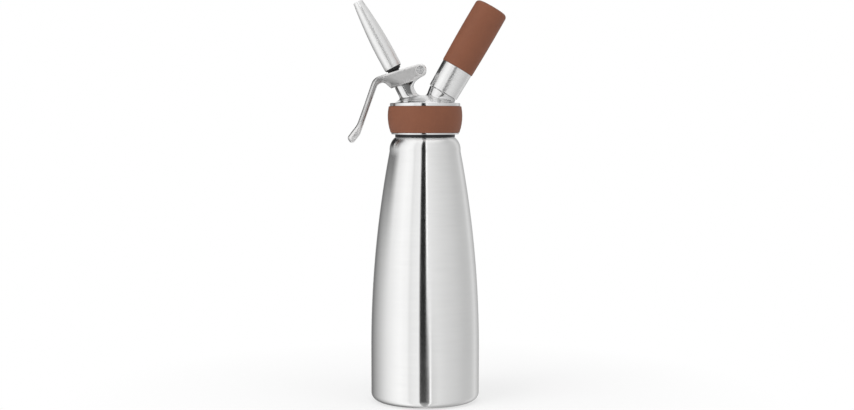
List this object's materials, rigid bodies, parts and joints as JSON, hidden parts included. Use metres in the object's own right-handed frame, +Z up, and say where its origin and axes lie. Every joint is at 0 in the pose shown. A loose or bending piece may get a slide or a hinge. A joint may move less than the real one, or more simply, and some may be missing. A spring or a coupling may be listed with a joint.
{
  "type": "whipped cream dispenser",
  "caption": "Steel whipped cream dispenser: screw-on head with lever valve, slanted decorating nozzle, charger holder with silicone grip, silicone band.",
  "frame": {"origin": "middle of the bottle's flat base", "axes": "+Z up along the bottle's axis, +X towards the charger holder, -X towards the nozzle and lever"},
  "size_m": [0.1366, 0.0948, 0.3485],
  "materials": {
    "spun_steel": "brushed round the bottle's axis",
    "polished_steel": "polished casting",
    "brown_silicone": "matte silicone",
    "seal_rubber": "matte rubber",
    "inner_steel": "turned",
    "bush_plastic": "moulded",
    "satin_steel": "satin drawn tube",
    "black_plastic": "moulded",
    "cast_steel": "satin casting with polished strap",
    "charger_steel": "drawn, satin"
  },
  "bodies": {
    "bottle": {"bottle": "spun_steel"},
    "seal_ring": {"head_gasket": "seal_rubber"},
    "head": {"head": "polished_steel", "head_band": "brown_silicone", "stem_bush": "bush_plastic", "valve_spring": "inner_steel", "charger_gasket": "seal_rubber", "piercing_pin": "inner_steel", "gas_flap": "seal_rubber"},
    "lever": {"lever": "cast_steel", "lever_pivot_pin": "polished_steel"},
    "valve": {"valve_stem": "inner_steel", "valve_seal": "seal_rubber", "stem_o_ring": "seal_rubber", "push_collar": "inner_steel", "collar_clip": "inner_steel", "nozzle": "satin_steel", "nozzle_adapter": "black_plastic"},
    "charger": {"charger": "charger_steel", "charger_cap": "charger_steel"},
    "holder": {"charger_holder": "satin_steel", "holder_grip": "brown_silicone"}
  },
  "joints": [
    {"name": "head_rise", "type": "slide", "parent": "bottle", "child": "seal_ring", "axis": [0, 0, 1], "range_m": [0, 0.008]},
    {"name": "head_turn", "type": "hinge", "parent": "seal_ring", "child": "head", "pos_m": [0, 0, 0.25], "axis": [0, 0, 1], "range_deg": [0, 720]},
    {"name": "lever_hinge", "type": "hinge", "parent": "head", "child": "lever", "pos_m": [-0.004, 0, 0.2876], "axis": [0, -1, 0], "range_deg": [0, 12], "stiffness_Nm_per_rad": 1.5, "springref_deg": -8.59},
    {"name": "valve_slide", "type": "slide", "parent": "head", "child": "valve", "axis": [0.4741, 0, -0.8805], "range_m": [0, 0.00424], "deforming": ["valve_spring"]},
    {"name": "holder_rise", "type": "slide", "parent": "head", "child": "charger", "axis": [0.503, 0, 0.8643], "range_m": [0, 0.009]},
    {"name": "holder_turn", "type": "hinge", "parent": "charger", "child": "holder", "pos_m": [0.01566, 0, 0.2686], "axis": [0.503, 0, 0.8643], "range_deg": [0, 2160]}
  ],
  "couplings": [
    {"joint": "head_turn", "follows": "head_rise", "rad_per_m": 1570.8},
    {"joint": "lever_hinge", "follows": "valve_slide", "rad_per_m": 49.331},
    {"joint": "holder_turn", "follows": "holder_rise", "rad_per_m": 4188.8}
  ]
}
